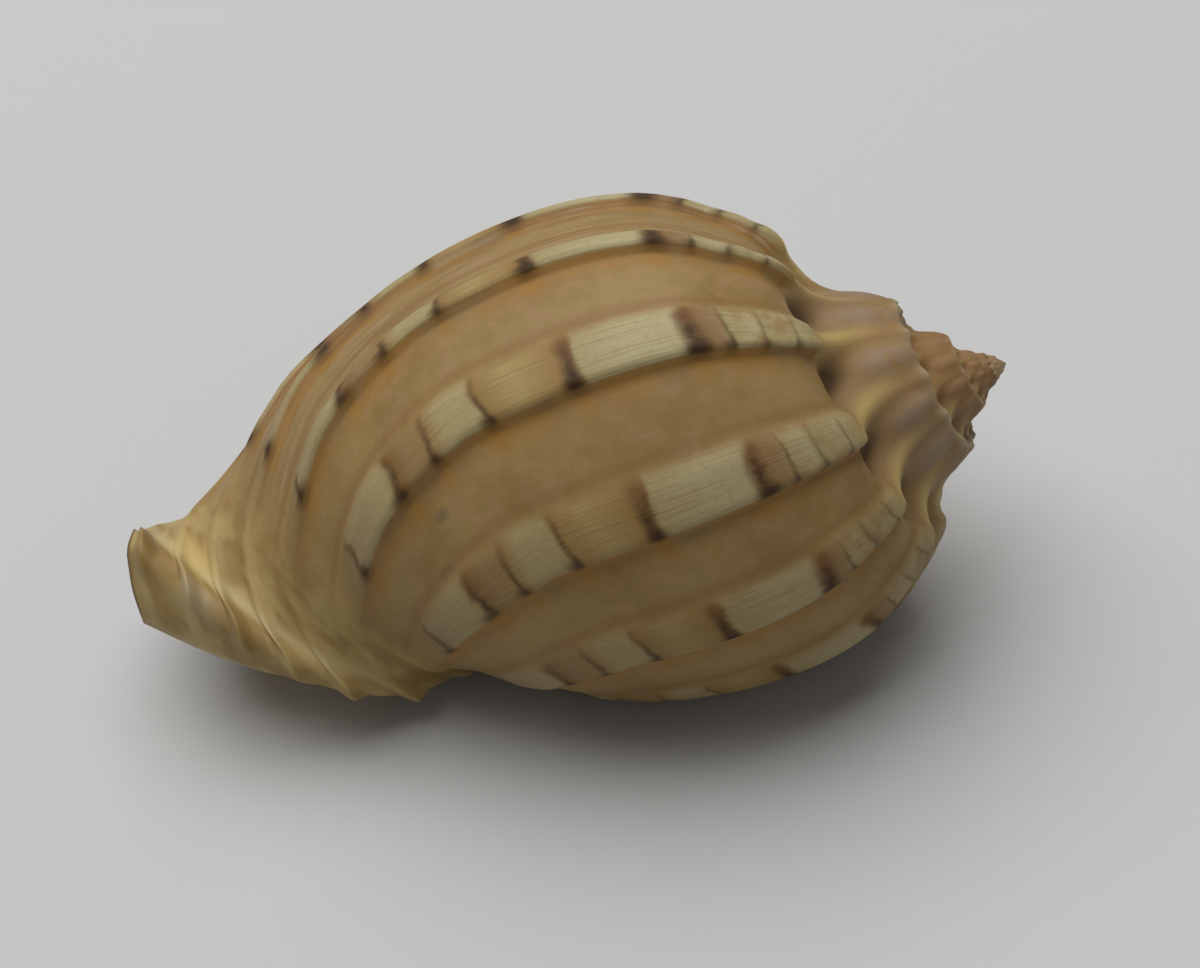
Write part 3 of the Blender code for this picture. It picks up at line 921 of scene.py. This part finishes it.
# The gloss and the finest relief: worn and dull outside, smooth under the glaze
OUTSIDE_ROUGHNESS = 0.46
ROUGHNESS_VARIES = 0.16
GLAZE_SMOOTHS = 0.28
SPECULAR_LEVEL = 0.2
RELIEF_STRENGTH = 0.5
RELIEF_HEIGHT = 0.00012
roughness = (fine_clouds * ROUGHNESS_VARIES + OUTSIDE_ROUGHNESS) - glazed * GLAZE_SMOOTHS
put(paint_tree, shader.inputs["Roughness"], roughness)
shader.inputs["Specular IOR Level"].default_value = SPECULAR_LEVEL
relief = streaks * (on_top * 0.7 + 0.3) + fine_clouds * (on_ramp * 1.8 + 0.3)
relief = relief + clouds * (on_ramp * 2.2 + 0.3)
bump = paint_tree.nodes.new("ShaderNodeBump")
bump.inputs["Strength"].default_value = RELIEF_STRENGTH
bump.inputs["Distance"].default_value = RELIEF_HEIGHT
put(paint_tree, bump.inputs["Height"], relief * (glazed * -0.8 + 1))
paint_tree.links.new(bump.outputs[0], shader.inputs["Normal"])


def grown_mesh(tree, name, values):
    """The plain mesh that a tree makes, with its inputs set by their sockets' identifiers."""
    seed = bpy.data.objects.new(name, bpy.data.meshes.new(name))
    bpy.context.scene.collection.objects.link(seed)
    maker = seed.modifiers.new("growth", "NODES")
    maker.node_group = tree
    for item in tree.interface.items_tree:
        if item.in_out == "INPUT":
            maker[item.identifier] = values[item.name]
    ready = seed.evaluated_get(bpy.context.evaluated_depsgraph_get())
    mesh = bpy.data.meshes.new_from_object(ready)
    for label in ("column", "row"):
        mesh.attributes.remove(mesh.attributes[label])
    seed.modifiers.remove(maker)
    seed.data = mesh
    return seed


shell = grown_mesh(
    shell_tree,
    "harp_shell",
    {
        "Spire Columns": SPIRE_COLUMNS,
        "Last Whorl Columns": LIP_COLUMN,
        "Rows": LAST_STATION * ROWS_PER_STATION,
        "Ramp Rows": RAMP_STATION * ROWS_PER_STATION,
        "Mouth Rows": RIM_ROWS + HOLLOW_ROWS,
        "Lip Wall": LIP_WALL,
        "Apex Place": APEX_PLACE,
        "Rest Turn": rest_turn(),
        "Finish": finish,
    },
)
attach(shell, "root")
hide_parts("shell")

# The studio: a plain pale floor that runs out of view, soft light from above and behind, and a
# long lens looking down on the shell's ribbed back, rolled a little, as such a shell is
# photographed.
PAPER_GREY = (0.52, 0.52, 0.515, 1)
PAPER_ROUGHNESS = 0.9
FLOOR_CORNERS = [(-2, -2, 0), (2, -2, 0), (2, 2, 0), (-2, 2, 0)]
ROOM_LIGHT = 0.13
CAMERA_PLACE = (0.0155, -0.2176, 0.1966)
CAMERA_DEGREES = (49.535, 8.43, -3.9)
SENSOR_WIDTH = 36
LENS = 87.14
NEAREST_SEEN = 0.01

floor_mesh = bpy.data.meshes.new("floor")
floor_mesh.from_pydata(FLOOR_CORNERS, [], [(0, 1, 2, 3)])
floor = bpy.data.objects.new("floor", floor_mesh)
bpy.context.scene.collection.objects.link(floor)
paper = bpy.data.materials.new("pale paper")
paper.use_nodes = True
paper_shader = paper.node_tree.nodes["Principled BSDF"]
paper_shader.inputs["Base Color"].default_value = PAPER_GREY
paper_shader.inputs["Roughness"].default_value = PAPER_ROUGHNESS
floor_mesh.materials.append(paper)


def soft_light(name, place, size, power):
    lamp = bpy.data.lights.new(name, "AREA")
    lamp.size = size
    lamp.energy = power
    holder = bpy.data.objects.new(name, lamp)
    holder.location = place
    holder.rotation_euler = (-Vector(place)).to_track_quat("-Z", "Y").to_euler()
    bpy.context.scene.collection.objects.link(holder)


soft_light("window above and behind", (-0.12, 0.24, 1.0), 1.3, 15.0)
soft_light("fill from the front", (0.5, -0.9, 0.6), 0.8, 0.7)
world = bpy.data.worlds.new("soft room")
world.use_nodes = True
room = world.node_tree.nodes["Background"]
room.inputs["Color"].default_value = (1, 1, 1, 1)
room.inputs["Strength"].default_value = ROOM_LIGHT
bpy.context.scene.world = world
bpy.context.scene.view_settings.view_transform = "Standard"

camera = bpy.data.objects.new("camera", bpy.data.cameras.new("camera"))
camera.location = CAMERA_PLACE
camera.rotation_euler = [radians(degrees) for degrees in CAMERA_DEGREES]
camera.data.sensor_width = SENSOR_WIDTH
camera.data.lens = LENS
camera.data.clip_start = NEAREST_SEEN
bpy.context.scene.collection.objects.link(camera)
bpy.context.scene.camera = camera

bpy.context.view_layer.update()
